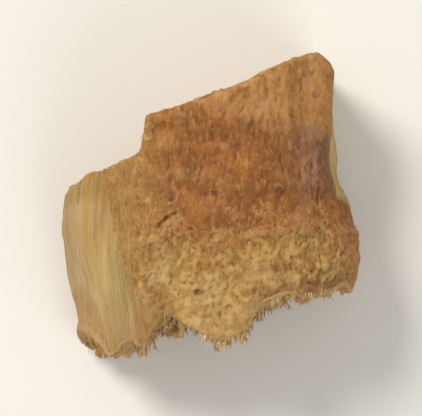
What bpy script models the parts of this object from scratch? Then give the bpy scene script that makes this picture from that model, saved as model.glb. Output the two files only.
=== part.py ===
"""A dried chunk of galangal root, as cut for the spice jar: a piece of a rhizome finger, split lengthwise.

Frame: metres, +Z up, +Y along the grain towards the knife-cut far end. The rind is on top, the split face
rests on the ground, the near end (-Y) is torn across its fibre bundles. The origin is the centre of the
bounding box, at ground level.
"""
import math
import random

import bmesh
import bpy
import numpy as np
from mathutils import Matrix, Vector, noise

MM = 0.001

# The rhizome finger that the chunk was cut from: a flattened round section, along Y.
FINGER_CENTRE_X = -1.0 * MM
FINGER_CENTRE_Z = 0.2 * MM
FINGER_HALF_WIDTH = 9.2 * MM
FINGER_HALF_HEIGHT = 8.6 * MM
FINGER_SQUARENESS = 2.6
FINGER_LENGTH = 24 * MM
FINGER_SIDES = 96

# Knife cuts as (point in mm, outward normal). The material on the normal's side is cut away.
UNDERSIDE = ((0, 0, -1.2), (0, 0, -1))
NEAR_END = ((0, -7.8, 4), (0, -1, 0))
FAR_END = ((0.9, 6.7, 4), (-0.34, 0.94, 0.02))
FLANK = ((-3.9, 0, 8.4), (-0.80, -0.07, 0.60))
TOP = ((0, -0.6, 8.75), (0.03, -0.11, 0.99))

HEART_CUTS = (
    UNDERSIDE, NEAR_END, FAR_END, FLANK, TOP,
    ((-4.0, 4, 4), (-1, 0.15, 0.06)),
    ((6.45, 2, 4), (1, 0.04, -0.03)),
    ((6.1, 7.8, 4), (0.62, 0.78, 0.05)),
)
FLANK_CUTS = (
    UNDERSIDE, NEAR_END, FLANK, TOP,
    ((-2.4, 0, 4), (1, 0, 0)),
    ((-8.0, -2, 2), (-1, 0.03, -0.10)),
    ((-8.0, -5.0, 2), (-0.99, -0.12, -0.10)),
    ((-4.4, 2.9, 4), (-0.30, 0.95, 0.05)),
    ((-6.75, 2.2, 3), (-0.66, 0.75, 0.02)),
)

# A healed side bud on the right, low on the flank of the finger.
BUD_CENTRE = Vector((5.35, -4.6, 3.2)) * MM
BUD_RADII = Vector((2.45, 7.5, 4.1)) * MM
BUD_CUTS = (UNDERSIDE, NEAR_END, ((6.9, 0.8, 3), (0.74, 0.66, 0.10)))

# The near end is torn: how far along Y it reaches at each X (mm), and how it recedes lower down.
TORN_PROFILE = (
    (-8.0, -6.6), (-7.0, -7.5), (-5.8, -7.8), (-4.2, -7.4), (-3.2, -6.3), (-2.6, -5.7), (-1.2, -6.0),
    (0.4, -6.4), (1.5, -6.2), (2.4, -5.0), (4.0, -4.6), (6.0, -4.3), (8.0, -4.0),
)
TORN_SKEW = 0.8 * MM
TORN_PIVOT = -0.5 * MM
TORN_UNDERCUT = 0.12
TORN_WANDER = 0.7 * MM
TORN_WANDER_PITCH = 2.4 * MM

# Torn fibre bundles standing out of the near end.
BUNDLE_SEED = 11
BUNDLE_RADIUS = (0.55 * MM, 0.95 * MM)
BUNDLE_REACH = (-0.1 * MM, 0.9 * MM)
BUNDLE_TAPER = 0.7
BUNDLE_ROOT = 2.4 * MM
BUNDLE_SPACING = 1.30 * MM
BUNDLE_SIDES = 10
BUNDLE_SPAN = (-6.7 * MM, 6.0 * MM)
BUNDLE_LOWEST = 1.2 * MM
BUNDLE_STAGGER = 0.3
BUNDLE_LEAN = 0.4 * MM
SPLINTERS = (
    ((0.2, -5.5, 7.2), (0.6, -8.8, 6.9), 0.60),
    ((1.3, -5.5, 6.9), (1.6, -8.5, 6.5), 0.60),
    ((-1.6, -5.5, 7.1), (-1.9, -8.7, 6.7), 0.62),
    ((-6.1, -5.0, 2.9), (-6.3, -8.1, 2.5), 0.90),
)

# Drying: warp of the whole chunk, cut faces sunken below their rind, wrinkles, fibre grooves, torn lumps.
WARP = ((7.0 * MM, 0.45 * MM), (2.6 * MM, 0.14 * MM))
SUNKEN = 0.38 * MM
SUNKEN_FROM_RIND = (0.3 * MM, 3.2 * MM)
RIND_DEPTH = 0.45 * MM
RIND_WRINKLE = 0.16 * MM
RIND_WRINKLE_PITCH = (1.7 * MM, 5.5 * MM)
SCAR_SPACING = 3.3 * MM
SCAR_HEIGHT = 0.16 * MM
SCAR_WIDTH = 0.40 * MM
SCAR_WOBBLE = 0.6 * MM
SCAR_WOBBLE_PITCH = 4.0 * MM
SCAR_PATCH_PITCH = 3.0 * MM
FIBRE_GROOVE = 0.15 * MM
FIBRE_PITCH = (1.25 * MM, 7.0 * MM)
TORN_LUMP = 0.16 * MM
TORN_PITCH = 0.95 * MM
TORN_FACING = (0.55, 0.85)

# Mesh making: size of the first even mesh, its smoothing before and after the relief, and its thinning.
VOXEL = 0.25 * MM
SOFTENING = 9
NORMAL_EVENING = 3
SETTLING = 2
KEEP_SHARE = 0.33
MERGE = 0.00001 * MM
CHUNK_COLOUR = (0.44, 0.27, 0.10, 1.0)


def clear_scene():
    for obj in list(bpy.data.objects):
        bpy.data.objects.remove(obj, do_unlink=True)


def new_collection(name):
    collection = bpy.data.collections.new(name)
    bpy.context.scene.collection.children.link(collection)
    return collection


def add_object(name, bm, collection):
    mesh = bpy.data.meshes.new(name)
    bm.to_mesh(mesh)
    bm.free()
    obj = bpy.data.objects.new(name, mesh)
    collection.objects.link(obj)
    return obj


def signed_power(value, power):
    return math.copysign(abs(value) ** power, value)


def finger():
    """The uncut rhizome finger: a cylinder along Y pressed to a flattened round section."""
    bm = bmesh.new()
    bmesh.ops.create_cone(bm, cap_ends=True, segments=FINGER_SIDES, radius1=1, radius2=1, depth=FINGER_LENGTH)
    bmesh.ops.rotate(bm, verts=bm.verts, matrix=Matrix.Rotation(math.radians(90), 3, "X"))
    roundness = 2 / FINGER_SQUARENESS
    for vert in bm.verts:
        across, up = vert.co.x, vert.co.z
        vert.co.x = FINGER_CENTRE_X + FINGER_HALF_WIDTH * signed_power(across, roundness)
        vert.co.z = FINGER_CENTRE_Z + FINGER_HALF_HEIGHT * signed_power(up, roundness)
    return bm


def bud():
    """The uncut side bud."""
    bm = bmesh.new()
    bmesh.ops.create_uvsphere(bm, u_segments=32, v_segments=20, radius=1)
    bmesh.ops.scale(bm, verts=bm.verts, vec=BUD_RADII)
    bmesh.ops.translate(bm, verts=bm.verts, vec=BUD_CENTRE)
    return bm


def knife(bm, point, normal):
    """One straight cut: what lies on the normal's side falls away and the cut is closed."""
    everything = bm.verts[:] + bm.edges[:] + bm.faces[:]
    cut = bmesh.ops.bisect_plane(bm, geom=everything, dist=MERGE, plane_co=point, plane_no=normal,
                                 clear_outer=True)
    rim = [item for item in cut["geom_cut"] if isinstance(item, bmesh.types.BMEdge)]
    bmesh.ops.edgenet_fill(bm, edges=rim)
    bmesh.ops.recalc_face_normals(bm, faces=bm.faces)


def cut_lump(name, bm, cuts, collection):
    for point, normal in cuts:
        knife(bm, Vector(point) * MM, Vector(normal))
    return add_object(name, bm, collection)


def strand(bm, start, end, radius):
    """A tapering bundle of fibres from start to its torn tip at end."""
    along = end - start
    turn = along.to_track_quat("Z", "Y").to_matrix().to_4x4()
    place = Matrix.Translation((start + end) / 2) @ turn
    bmesh.ops.create_cone(bm, cap_ends=True, segments=BUNDLE_SIDES, radius1=radius,
                          radius2=radius * BUNDLE_TAPER, depth=along.length, matrix=place)


def inside_section(x, z, radius):
    """Whether a bundle at this place of the torn cross-section lies below the rind and the knife cuts."""
    place = Vector((x, NEAR_END[0][1] * MM, z))
    room = [(1 - ring_at(np.array([place]))[0]) * FINGER_HALF_HEIGHT]
    for point, normal in (FLANK, TOP):
        room.append((Vector(point) * MM - place).dot(Vector(normal).normalized()))
    return min(room) > radius


def fibre_bundles(collection):
    """The ragged near end: rows of bundles that broke at different lengths, and the longest splinters."""
    chance = random.Random(BUNDLE_SEED)
    bm = bmesh.new()
    face_y = NEAR_END[0][1] * MM
    columns = int(2 * FINGER_HALF_WIDTH / BUNDLE_SPACING)
    rows = int(FINGER_HALF_HEIGHT / BUNDLE_SPACING) + 1
    for column in range(columns):
        for row in range(rows):
            x = -FINGER_HALF_WIDTH + (column + 0.5 + chance.uniform(-1, 1) * BUNDLE_STAGGER) * BUNDLE_SPACING
            z = (row + 0.5 + chance.uniform(-1, 1) * BUNDLE_STAGGER) * BUNDLE_SPACING
            reach = chance.uniform(*BUNDLE_REACH)
            lean = BUNDLE_LEAN * Vector((chance.uniform(-1, 1), 0, chance.uniform(-1, 1)))
            radius = chance.uniform(*BUNDLE_RADIUS)
            in_span = z > BUNDLE_LOWEST and BUNDLE_SPAN[0] < x < BUNDLE_SPAN[1]
            if not in_span or not inside_section(x, z, radius):
                continue
            strand(bm, Vector((x, face_y + BUNDLE_ROOT, z)), Vector((x, face_y - reach, z)) + lean, radius)
    for start, end, radius in SPLINTERS:
        strand(bm, Vector(start) * MM, Vector(end) * MM, radius * MM)
    return add_object("bundles", bm, collection)


def fused(objects, collection):
    """The lumps and bundles grown together: one closed skin over their union."""
    whole = bmesh.new()
    for obj in objects:
        whole.from_mesh(obj.data)
        obj.hide_render = True
        obj.display_type = "WIRE"
    body = add_object("root_chunk", whole, collection)
    remesh = body.modifiers.new("fuse", "REMESH")
    remesh.mode = "VOXEL"
    remesh.voxel_size = VOXEL
    smooth_over(body, SOFTENING)
    return bake_modifiers(body)


def smooth_over(obj, rounds):
    smoothing = obj.modifiers.new("smooth over", "SMOOTH")
    smoothing.factor = 0.5
    smoothing.iterations = rounds


def bake_modifiers(obj):
    graph = bpy.context.evaluated_depsgraph_get()
    mesh = bpy.data.meshes.new_from_object(obj.evaluated_get(graph), depsgraph=graph)
    obj.modifiers.clear()
    obj.data = mesh
    return obj


def read_points(mesh):
    points = np.empty(len(mesh.vertices) * 3, np.float32)
    mesh.vertices.foreach_get("co", points)
    return points.reshape(-1, 3).astype(float)


def read_normals(mesh):
    """The vertex normals, evened out over their neighbours so that sharp cut edges don't fray."""
    normals = np.empty(len(mesh.vertices) * 3, np.float32)
    mesh.vertex_normals.foreach_get("vector", normals)
    normals = normals.reshape(-1, 3).astype(float)
    ends = np.empty(len(mesh.edges) * 2, np.int32)
    mesh.edges.foreach_get("vertices", ends)
    ends = ends.reshape(-1, 2)
    for _ in range(NORMAL_EVENING):
        sums = normals.copy()
        np.add.at(sums, ends[:, 0], normals[ends[:, 1]])
        np.add.at(sums, ends[:, 1], normals[ends[:, 0]])
        normals = sums / np.linalg.norm(sums, axis=1)[:, None]
    return normals


def noise_at(points, pitch, shift=0.0):
    """Smooth noise from about -1 to 1 at each point, with features as large as pitch along each axis."""
    scaled = points / np.asarray(pitch) + shift
    return np.array([noise.noise(Vector(p)) for p in scaled])


def smoothstep(low, high, value):
    share = np.clip((value - low) / (high - low), 0, 1)
    return share * share * (3 - 2 * share)


def ring_at(points):
    """0 on the finger's axis, 1 on its rind."""
    across = np.abs(points[:, 0] - FINGER_CENTRE_X) / FINGER_HALF_WIDTH
    up = np.abs(points[:, 2] - FINGER_CENTRE_Z) / FINGER_HALF_HEIGHT
    return (across ** FINGER_SQUARENESS + up ** FINGER_SQUARENESS) ** (1 / FINGER_SQUARENESS)


def depth_below_rind(points):
    in_bud = np.linalg.norm((points - np.array(BUD_CENTRE)) / np.array(BUD_RADII), axis=1)
    return np.minimum(np.abs(1 - ring_at(points)) * FINGER_HALF_HEIGHT, np.abs(1 - in_bud) * BUD_RADII.x)


def torn_back(points):
    """Draws the near end back to its torn profile, leaving the far half of the chunk as it is."""
    knots = np.array(TORN_PROFILE) * MM
    skewed = points[:, 0] + TORN_SKEW * noise_at(points * np.array([0, 0, 1]), TORN_WANDER_PITCH, 30.0)
    reach = np.interp(skewed, knots[:, 0], knots[:, 1])
    reach += TORN_UNDERCUT * (FINGER_HALF_HEIGHT - points[:, 2])
    reach += TORN_WANDER * noise_at(points * np.array([1, 0, 1]), TORN_WANDER_PITCH, 40.0)
    share = np.maximum(TORN_PIVOT - points[:, 1], 0) / (TORN_PIVOT - NEAR_END[0][1] * MM)
    drawn = points.copy()
    drawn[:, 1] = np.where(share > 0, TORN_PIVOT - share * (TORN_PIVOT - reach), points[:, 1])
    return drawn


def ring_scars(points):
    """Raised leaf-scar rings across the rind, wavy and unevenly strong."""
    along = points[:, 1] + SCAR_WOBBLE * noise_at(points, SCAR_WOBBLE_PITCH, 5.0)
    off_ring = np.abs(along / SCAR_SPACING % 1.0 - 0.5) * SCAR_SPACING
    strength = 0.6 + 0.4 * noise_at(points, SCAR_PATCH_PITCH, 9.0)
    return SCAR_HEIGHT * strength * np.exp(-((off_ring / SCAR_WIDTH) ** 2))


def relief(points, normals):
    """How far each point of the skin stands out along its normal."""
    depth = depth_below_rind(points)
    rind = 1 - smoothstep(0.4 * RIND_DEPTH, RIND_DEPTH, depth)
    torn = smoothstep(*TORN_FACING, -normals[:, 1]) * (1 - rind)
    cut = (1 - rind) * (1 - torn)
    across, along = RIND_WRINKLE_PITCH
    wrinkles = RIND_WRINKLE * noise_at(points, (across, along, across), 3.0) + ring_scars(points)
    across, along = FIBRE_PITCH
    grooves = FIBRE_GROOVE * noise_at(points, (across, along, across), 7.0)
    grooves -= SUNKEN * smoothstep(*SUNKEN_FROM_RIND, depth)
    lumps = TORN_LUMP * noise_at(points, TORN_PITCH, 1.0)
    return rind * wrinkles + cut * grooves + torn * lumps


def dry_and_wrinkle(mesh):
    """Adds the relief, then warps the whole chunk as drying does."""
    points = read_points(mesh)
    normals = read_normals(mesh)
    shaped = torn_back(points) + normals * relief(points, normals)[:, None]
    for pitch, reach in WARP:
        for axis in range(3):
            shaped[:, axis] += reach * noise_at(points, pitch, 20.0 + 13.0 * axis)
    mesh.vertices.foreach_set("co", shaped.astype(np.float32).ravel())
    mesh.update()


def thin_out(body):
    smooth_over(body, SETTLING)
    decimate = body.modifiers.new("thin", "DECIMATE")
    decimate.ratio = KEEP_SHARE
    return bake_modifiers(body)


def ground(body):
    """The flat split face that the chunk rests on, at z = 0, with the box centred over the origin."""
    bm = bmesh.new()
    bm.from_mesh(body.data)
    bmesh.ops.triangulate(bm, faces=bm.faces)
    knife(bm, Vector((0, 0, 0)), Vector((0, 0, -1)))
    corners = np.array([vert.co for vert in bm.verts])
    middle = (corners.min(axis=0) + corners.max(axis=0)) / 2
    bmesh.ops.translate(bm, verts=bm.verts, vec=Vector((-middle[0], -middle[1], 0)))
    bm.to_mesh(body.data)
    bm.free()


def dress(body):
    material = bpy.data.materials.new("dried_root")
    material.use_nodes = True
    shader = material.node_tree.nodes["Principled BSDF"]
    shader.inputs["Base Color"].default_value = CHUNK_COLOUR
    shader.inputs["Roughness"].default_value = 0.85
    shader.inputs["Metallic"].default_value = 0.0
    body.data.materials.clear()
    body.data.materials.append(material)


def build():
    clear_scene()
    lumps = new_collection("lumps")
    chunk = new_collection("galangal_root")
    pieces = [
        cut_lump("heart", finger(), HEART_CUTS, lumps),
        cut_lump("flank", finger(), FLANK_CUTS, lumps),
        cut_lump("bud", bud(), BUD_CUTS, lumps),
        fibre_bundles(lumps),
    ]
    body = fused(pieces, chunk)
    dry_and_wrinkle(body.data)
    thin_out(body)
    ground(body)
    dress(body)
    lumps.hide_render = True


build()
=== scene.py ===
"""Looks of a dried chunk of galangal root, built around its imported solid.

Frame: metres, +Z up, +Y along the grain. The rind is on top, the flank on the left (-X) is a pale knife cut,
the far end (+Y) is cut clean across, the near end (-Y) is torn, and the split face rests on the floor.
"""

import itertools
import math
import random

import bmesh
import bpy
import numpy as np
from mathutils import Matrix, Vector, noise
from mathutils.bvhtree import BVHTree


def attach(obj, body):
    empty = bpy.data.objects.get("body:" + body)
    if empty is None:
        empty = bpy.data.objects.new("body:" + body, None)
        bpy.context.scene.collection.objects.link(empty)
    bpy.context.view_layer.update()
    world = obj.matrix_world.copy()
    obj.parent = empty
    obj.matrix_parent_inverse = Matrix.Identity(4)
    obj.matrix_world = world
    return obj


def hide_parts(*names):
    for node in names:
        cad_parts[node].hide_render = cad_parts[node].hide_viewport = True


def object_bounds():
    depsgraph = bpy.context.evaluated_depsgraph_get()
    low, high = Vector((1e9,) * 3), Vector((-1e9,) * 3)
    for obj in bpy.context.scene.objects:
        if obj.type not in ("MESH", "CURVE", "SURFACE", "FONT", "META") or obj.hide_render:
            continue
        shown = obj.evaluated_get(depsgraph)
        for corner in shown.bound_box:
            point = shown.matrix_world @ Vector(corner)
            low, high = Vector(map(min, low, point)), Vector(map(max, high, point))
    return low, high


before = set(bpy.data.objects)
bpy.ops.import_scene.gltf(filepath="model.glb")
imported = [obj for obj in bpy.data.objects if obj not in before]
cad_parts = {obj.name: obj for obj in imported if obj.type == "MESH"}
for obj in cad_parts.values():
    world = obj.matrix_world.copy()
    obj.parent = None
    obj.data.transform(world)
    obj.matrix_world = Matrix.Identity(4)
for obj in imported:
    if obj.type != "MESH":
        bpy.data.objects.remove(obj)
solid_low, solid_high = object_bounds()

MM = 0.001

# The rhizome finger that the chunk was cut from: a flattened round section, along Y.
FINGER_CENTRE_X = -1.0 * MM
FINGER_CENTRE_Z = 0.2 * MM
FINGER_HALF_WIDTH = 9.2 * MM
FINGER_HALF_HEIGHT = 8.6 * MM
FINGER_SQUARENESS = 2.6
FINGER_LENGTH = 24 * MM
FINGER_SIDES = 160

# Knife cuts as (point in mm, outward normal). The material on the normal's side is cut away.
UNDERSIDE = ((0, 0, -1.2), (0, 0, -1))
NEAR_END = ((0, -7.8, 4), (0, -1, 0))
FAR_END = ((0.9, 6.7, 4), (-0.34, 0.94, 0.02))
FLANK = ((-3.9, 0, 8.4), (-0.80, -0.07, 0.60))
TOP = ((0, -0.6, 8.75), (0.03, -0.11, 0.99))
RIGHT_WALL = ((6.45, 2, 4), (1, 0.04, -0.03))

HEART_CUTS = (
    UNDERSIDE, NEAR_END, FAR_END, FLANK, TOP, RIGHT_WALL,
    ((-4.0, 4, 4), (-1, 0.15, 0.06)),
    ((6.1, 7.8, 4), (0.62, 0.78, 0.05)),
)
FLANK_CUTS = (
    UNDERSIDE, NEAR_END, FLANK, TOP,
    ((-2.4, 0, 4), (1, 0, 0)),
    ((-8.0, -2, 2), (-1, 0.03, -0.10)),
    ((-8.0, -5.0, 2), (-0.99, -0.12, -0.10)),
    ((-4.4, 2.9, 4), (-0.30, 0.95, 0.05)),
    ((-6.75, 2.2, 3), (-0.66, 0.75, 0.02)),
)

# A healed side bud on the right, low on the flank of the finger.
BUD_CENTRE = Vector((5.35, -4.6, 3.2)) * MM
BUD_RADII = Vector((2.45, 7.5, 4.1)) * MM
BUD_FACET = ((6.9, 0.8, 3), (0.74, 0.66, 0.10))
BUD_CUTS = (UNDERSIDE, NEAR_END, BUD_FACET)

# The near end is torn: how far along Y it reaches at each X (mm), and how it recedes lower down.
TORN_PROFILE = (
    (-8.0, -6.6), (-7.0, -7.5), (-5.8, -7.8), (-4.2, -7.4), (-3.2, -6.3), (-2.6, -5.7), (-1.2, -6.0),
    (0.4, -6.4), (1.5, -6.2), (2.4, -5.0), (4.0, -4.6), (6.0, -4.3), (8.0, -4.0),
)
TORN_SKEW = 0.8 * MM
TORN_PIVOT = -0.5 * MM
TORN_UNDERCUT = 0.12
TORN_WANDER = 0.7 * MM
TORN_WANDER_PITCH = 2.4 * MM

# Torn fibre bundles standing out of the near end. A splinter is given as (root, tip, radius) in mm.
BUNDLE_SEED = 11
BUNDLE_RADIUS = (0.55 * MM, 0.95 * MM)
BUNDLE_REACH = (-0.1 * MM, 0.9 * MM)
BUNDLE_TAPER = 0.7
BUNDLE_ROOT = 2.4 * MM
BUNDLE_SPACING = 1.30 * MM
BUNDLE_SIDES = 12
BUNDLE_SPAN = (-6.7 * MM, 6.0 * MM)
BUNDLE_LOWEST = 1.2 * MM
BUNDLE_STAGGER = 0.3
BUNDLE_LEAN = 0.4 * MM
SPLINTERS = (
    ((0.2, -5.5, 7.2), (0.6, -8.8, 6.9), 0.60),
    ((1.3, -5.5, 6.9), (1.6, -8.5, 6.5), 0.60),
    ((-1.6, -5.5, 7.1), (-1.9, -8.7, 6.7), 0.62),
    ((-6.1, -5.0, 2.9), (-6.3, -8.1, 2.5), 0.90),
)

# Broad relief, the same as the solid's.
WARP = ((7.0 * MM, 0.45 * MM), (2.6 * MM, 0.14 * MM))
SUNKEN = 0.38 * MM
SUNKEN_FROM_RIND = (0.3 * MM, 3.2 * MM)
RIND_DEPTH = 0.45 * MM
RIND_WRINKLE = 0.16 * MM
RIND_WRINKLE_PITCH = (1.7 * MM, 5.5 * MM)
SCAR_SPACING = 3.3 * MM
SCAR_HEIGHT = 0.16 * MM
SCAR_WIDTH = 0.40 * MM
SCAR_WOBBLE = 0.6 * MM
SCAR_WOBBLE_PITCH = 4.0 * MM
SCAR_PATCH_PITCH = 3.0 * MM
FIBRE_GROOVE = 0.15 * MM
FIBRE_PITCH = (1.25 * MM, 7.0 * MM)
TORN_LUMP = 0.16 * MM
TORN_PITCH = 0.95 * MM
TORN_FACING = (0.55, 0.85)

# Mesh making, and how often the normals are averaged with their neighbours'.
BROAD_VOXEL = 0.16 * MM
BROAD_SOFTENING = 14
BROAD_EVENING = 4
FINE_VOXEL = 0.098 * MM
FINE_SOFTENING = 2
FINE_EVENING = 3
MERGE = 0.00001 * MM
GROUND_SLACK = 0.05 * MM

# Painted shade in creases and painted highlight on sharp ridges: rounds of averaging, and the stand over the
# surroundings that counts in full.
FINE_SHADE_AVERAGING = (2, 0.03 * MM)
BROAD_SHADE_AVERAGING = (14, 0.16 * MM)

# Marks on the top, in mm: dents as (x, y, radius, strength), darkened with painted shade, and a slanted nick
# with a pale lip.
TOP_FROM = 6.0
DENTS = (
    (-0.8, -4.1, 0.32, 1.0), (-2.2, 0.9, 0.36, 0.45), (0.1, 1.0, 0.26, 0.40), (4.4, 1.8, 0.28, 0.40),
    (-4.2, -0.45, 0.26, 0.3), (-2.7, 4.5, 0.34, 0.35), (0.6, 4.0, 0.40, 0.30), (2.1, -4.0, 0.24, 0.4),
    (-2.2, -3.1, 0.34, 0.25), (-2.6, -1.8, 0.30, 0.3), (-3.6, -3.4, 0.26, 0.3), (0.7, -3.5, 0.32, 0.2),
)
NICK_PLACE = (-2.5, -0.3)
NICK_TURN = math.radians(41)
NICK_HALF_LENGTH = 0.72
NICK_HALF_WIDTH = 0.15
MARK_DEPTH = 0.13
MARK_SHADE = 0.85
LIP_HEIGHT = 0.035

# Stains on the top, in mm: (x, y, reach along X, reach along Y, strength), paler above 0 and darker below 0.
# The pale one at (6.8, -0.5) is a painted highlight, and the dark one at (6.1, 2.4) darkens the top along its
# right edge.
STAINS_AND_HIGHLIGHT = (
    (1.9, 5.4, 1.5, 0.6, 0.9), (-2.8, 3.7, 0.5, 0.6, 0.7), (-2.1, 2.2, 0.7, 0.4, 0.6),
    (-0.4, 2.1, 0.5, 0.4, 0.5), (3.0, 4.5, 1.0, 0.5, 0.5), (4.5, -0.3, 0.9, 0.5, 0.7),
    (0.4, -1.0, 0.6, 0.4, 0.8), (-2.0, 4.7, 0.8, 0.4, -0.8), (-0.6, 4.1, 0.8, 0.5, -0.7),
    (1.1, 3.8, 0.5, 0.5, -0.6), (-0.7, 3.0, 1.2, 0.3, -0.5), (2.0, 1.5, 0.6, 0.6, -0.9),
    (3.9, 1.4, 0.9, 0.5, -0.8), (-3.2, 1.3, 0.7, 0.8, -0.6), (6.1, 2.4, 0.5, 1.6, -0.8),
    (-2.8, -2.6, 0.6, 1.4, 0.8), (2.0, -1.1, 0.6, 0.4, 0.6), (4.0, -1.2, 0.9, 0.5, 0.6),
    (-0.8, -4.1, 0.7, 0.5, -0.7), (2.4, -2.9, 0.8, 0.8, -0.8), (-1.1, -3.5, 0.3, 0.2, 1.0),
    (0.3, -1.2, 0.3, 0.3, 1.0), (2.5, -0.9, 0.3, 0.3, 0.9), (4.0, -3.3, 0.5, 0.4, 0.7),
    (0.1, -3.8, 0.3, 0.3, 0.8), (6.8, -0.5, 0.4, 0.3, 1.0), (4.9, 2.6, 0.35, 1.2, 0.45),
    (4.2, 1.9, 0.35, 0.35, -0.9), (5.75, 2.8, 0.3, 0.5, -0.6),
)

# Loose fibres. Lengths without MM are in mm, and tones go from 0 for brown to 1 for cream.
OUT_OF_TEAR = np.array([0.0, -1.0, 0.0])
FIBRE_ROOT = 0.30
FIBRE_STEPS = 5
FIBRE_SIDES = 4
FIBRE_SEED = 19

# Tufts of single fibres on the torn end.
TUFTS = 640
TUFT_SPREAD = 0.14 * MM
TUFT_COUNT = (2, 7)
TUFT_RADIUS = (0.018, 0.050)
TUFT_REACH = (0.02, 0.07)
TUFT_INTO_HOLLOW = 0.5
TUFT_TAPER = 0.65
TUFT_TONE = (0.20, 0.75)
LONGEST_FIBRE = 0.58

# Stubs of torn bundles, each with a brush of fibres at its tip.
STUBS = 230
STUB_SIDES = 7
STUB_RADIUS = (0.05, 0.16)
STUB_REACH = 0.16
STUB_INTO_HOLLOW = 0.4
STUB_TAPER = 0.30
STUB_TONE = (0.15, 0.62)
STUB_JAG = 0.06
LONGEST_STUB = 0.6
BRUSH_COUNT = (3, 8)
BRUSH_REACH = (0.12, 0.36)
BRUSH_TAPER = 0.6

# Clusters of pale bundle tips at the top rim of the torn end, as (x, half width, reach).
PALE_TIPS = ((-0.2, 0.14, 0.06), (0.5, 0.17, 0.20), (1.6, 0.18, 0.08))
PALE_TIP_COUNT = 8
PALE_TIP_RADIUS = (0.04, 0.09)
PALE_TIP_TONE = (0.55, 0.80)

# Fibres lifting off the lengthwise cuts. Beyond SLIVER_TURN they all point to the near end.
SLIVERS = 46
SLIVER_RADIUS = (0.010, 0.024)
SLIVER_REACH = (0.30, 0.90)
SLIVER_TAPER = 0.7
SLIVER_TONE = (0.15, 0.60)
SLIVER_TURN = 0.5 * MM

# Camera and floor. The view is VIEW_WIDTH wide at VIEW_LEVEL above the floor.
LENS = 250
SENSOR_WIDTH = 36
VIEW_WIDTH = 22.2 * MM
VIEW_LEVEL = 5.0 * MM
CLIP = (0.01, 10)
FLOOR_HALF_SIZE = 0.6
FLOOR_ROUGHNESS = 0.9

# The backdrop as (colour, strength), and lights as (place, size, power, colour), all aimed at one point.
LIGHT_TARGET = Vector((0, 0, 4.0)) * MM
BACKDROP = ((1.0, 0.985, 0.96, 1.0), 0.48)
LIGHTS = {
    "key": ((-0.16, 0.17, 0.22), 0.12, 0.82, (1.0, 0.97, 0.92)),
    "fill": ((0.16, -0.20, 0.20), 0.26, 0.32, (0.96, 0.98, 1.0)),
}


# Meshes.
def to_mesh(bm, name):
    mesh = bpy.data.meshes.new(name)
    bm.to_mesh(mesh)
    bm.free()
    return mesh


def linked(name, data):
    """A new object in the scene."""
    obj = bpy.data.objects.new(name, data)
    bpy.context.scene.collection.objects.link(obj)
    return obj


def signed_power(value, power):
    return math.copysign(abs(value) ** power, value)


def finger(bm):
    """The uncut rhizome finger: a cylinder along Y pressed to a flattened round section."""
    bmesh.ops.create_cone(bm, cap_ends=True, segments=FINGER_SIDES, radius1=1, radius2=1, depth=FINGER_LENGTH)
    bmesh.ops.rotate(bm, verts=bm.verts, matrix=Matrix.Rotation(math.radians(90), 3, "X"))
    roundness = 2 / FINGER_SQUARENESS
    for vert in bm.verts:
        across, up = vert.co.x, vert.co.z
        vert.co.x = FINGER_CENTRE_X + FINGER_HALF_WIDTH * signed_power(across, roundness)
        vert.co.z = FINGER_CENTRE_Z + FINGER_HALF_HEIGHT * signed_power(up, roundness)


def bud(bm):
    """The uncut side bud."""
    bmesh.ops.create_uvsphere(bm, u_segments=64, v_segments=40, radius=1)
    bmesh.ops.scale(bm, verts=bm.verts, vec=BUD_RADII)
    bmesh.ops.translate(bm, verts=bm.verts, vec=BUD_CENTRE)


def knife(bm, point, normal):
    """One straight cut: what lies on the normal's side falls away and the cut is closed."""
    everything = bm.verts[:] + bm.edges[:] + bm.faces[:]
    cut = bmesh.ops.bisect_plane(bm, geom=everything, dist=MERGE, plane_co=point, plane_no=normal,
                                 clear_outer=True)
    rim = [item for item in cut["geom_cut"] if isinstance(item, bmesh.types.BMEdge)]
    bmesh.ops.edgenet_fill(bm, edges=rim)
    bmesh.ops.recalc_face_normals(bm, faces=bm.faces)


def cut_lump(shape, cuts):
    bm = bmesh.new()
    shape(bm)
    for point, normal in cuts:
        knife(bm, Vector(point) * MM, Vector(normal))
    return to_mesh(bm, "lump")


def strand(bm, start, end, radius):
    """A tapering bundle of fibres from start to its torn tip at end."""
    along = end - start
    turn = along.to_track_quat("Z", "Y").to_matrix().to_4x4()
    place = Matrix.Translation((start + end) / 2) @ turn
    bmesh.ops.create_cone(bm, cap_ends=True, segments=BUNDLE_SIDES, radius1=radius,
                          radius2=radius * BUNDLE_TAPER, depth=along.length, matrix=place)


def inside_section(x, z, radius):
    """Whether a bundle at this place of the torn cross-section lies below the rind and the knife cuts."""
    place = Vector((x, NEAR_END[0][1] * MM, z))
    room = [(1 - ring_at(np.array([place]))[0]) * FINGER_HALF_HEIGHT]
    for point, normal in (FLANK, TOP):
        room.append((Vector(point) * MM - place).dot(Vector(normal).normalized()))
    return min(room) > radius


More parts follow.
